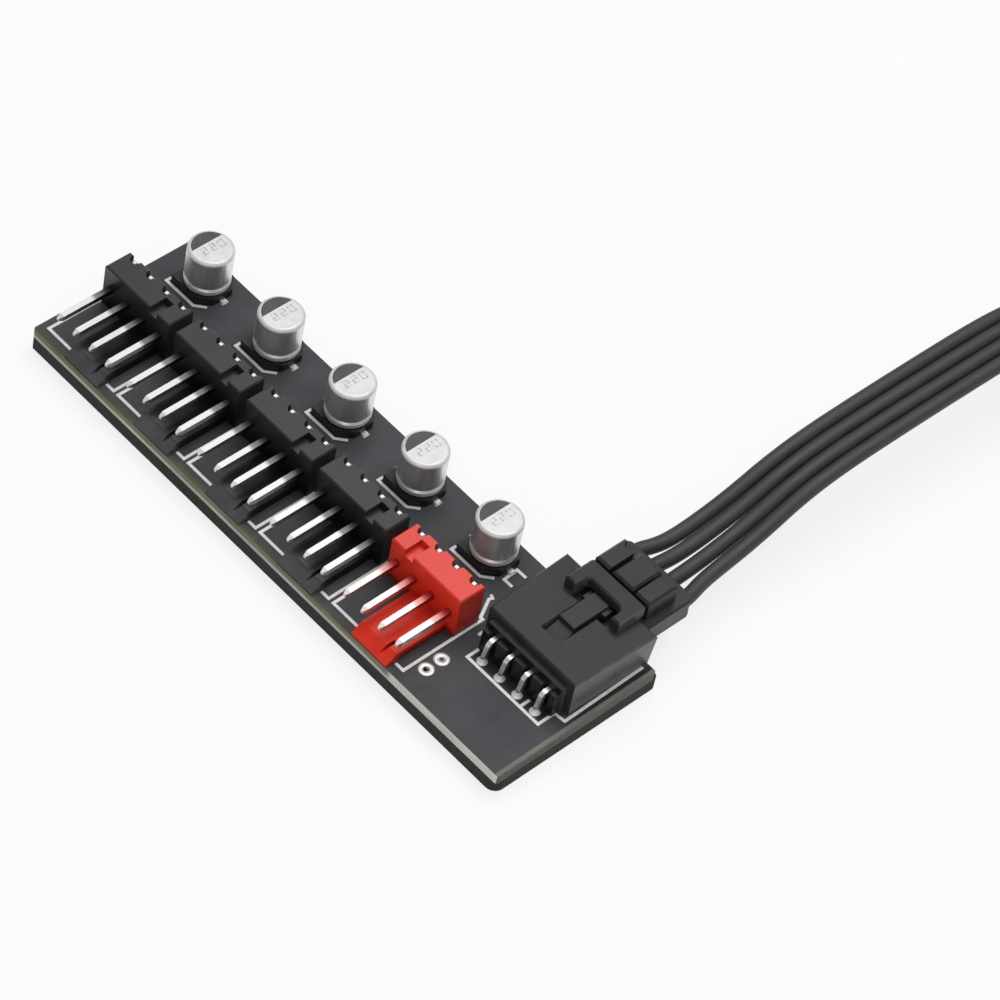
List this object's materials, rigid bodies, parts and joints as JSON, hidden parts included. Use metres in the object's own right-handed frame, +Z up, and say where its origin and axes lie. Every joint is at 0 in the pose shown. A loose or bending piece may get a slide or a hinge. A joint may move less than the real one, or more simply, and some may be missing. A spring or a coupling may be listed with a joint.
{
  "type": "pc fan hub",
  "caption": "Passive fan hub: narrow board on an adhesive pad, a row of keyed fan ports with a filter capacitor behind each, and a latched flat lead at one end.",
  "frame": {"origin": "centre of the pad's underside, on the surface that the hub rests on", "axes": "+X along the board towards the power socket, +Y from the port edge to the edge where the lead leaves, +Z up"},
  "size_m": [0.0916, 0.1308, 0.0102],
  "materials": {
    "pad_foam": "closed-cell foam, matt",
    "board_mask": "black solder mask, satin",
    "black_nylon": "moulded, glossy",
    "red_nylon": "moulded, glossy",
    "tinned_pin": "tin plated, bright",
    "can_metal": "drawn, satin",
    "capacitor_base": "moulded, matt",
    "socket_nylon": "moulded, satin",
    "plug_nylon": "moulded, satin",
    "wire_jacket": "soft vinyl, satin",
    "tie_nylon": "moulded, satin"
  },
  "bodies": {
    "root": {"adhesive_pad": "pad_foam", "circuit_board": "board_mask", "port_1_housing": "black_nylon", "port_1_pin_1": "tinned_pin", "port_1_pin_2": "tinned_pin", "port_1_pin_3": "tinned_pin", "port_1_pin_4": "tinned_pin", "capacitor_1_can": "can_metal", "capacitor_1_base": "capacitor_base", "capacitor_1_leads": "tinned_pin", "port_2_housing": "black_nylon", "port_2_pin_1": "tinned_pin", "port_2_pin_2": "tinned_pin", "port_2_pin_3": "tinned_pin", "port_2_pin_4": "tinned_pin", "capacitor_2_can": "can_metal", "capacitor_2_base": "capacitor_base", "capacitor_2_leads": "tinned_pin", "port_3_housing": "black_nylon", "port_3_pin_1": "tinned_pin", "port_3_pin_2": "tinned_pin", "port_3_pin_3": "tinned_pin", "port_3_pin_4": "tinned_pin", "capacitor_3_can": "can_metal", "capacitor_3_base": "capacitor_base", "capacitor_3_leads": "tinned_pin", "port_4_housing": "black_nylon", "port_4_pin_1": "tinned_pin", "port_4_pin_2": "tinned_pin", "port_4_pin_3": "tinned_pin", "port_4_pin_4": "tinned_pin", "capacitor_4_can": "can_metal", "capacitor_4_base": "capacitor_base", "capacitor_4_leads": "tinned_pin", "port_5_housing": "red_nylon", "port_5_pin_1": "tinned_pin", "port_5_pin_2": "tinned_pin", "port_5_pin_3": "tinned_pin", "port_5_pin_4": "tinned_pin", "capacitor_5_can": "can_metal", "capacitor_5_base": "capacitor_base", "capacitor_5_leads": "tinned_pin", "power_socket_housing": "socket_nylon", "power_socket_pin_1": "tinned_pin", "power_socket_pin_2": "tinned_pin", "power_socket_pin_3": "tinned_pin", "power_socket_pin_4": "tinned_pin", "power_plug_housing": "plug_nylon", "power_plug_terminals": "tinned_pin", "lead_wire_1": "wire_jacket", "lead_wire_2": "wire_jacket", "lead_wire_3": "wire_jacket", "lead_wire_4": "wire_jacket", "lead_far_wires": "wire_jacket", "lead_coil": "wire_jacket", "lead_tie": "tie_nylon", "far_connector_housing": "plug_nylon", "far_connector_terminals": "tinned_pin"}
  },
  "joints": []
}
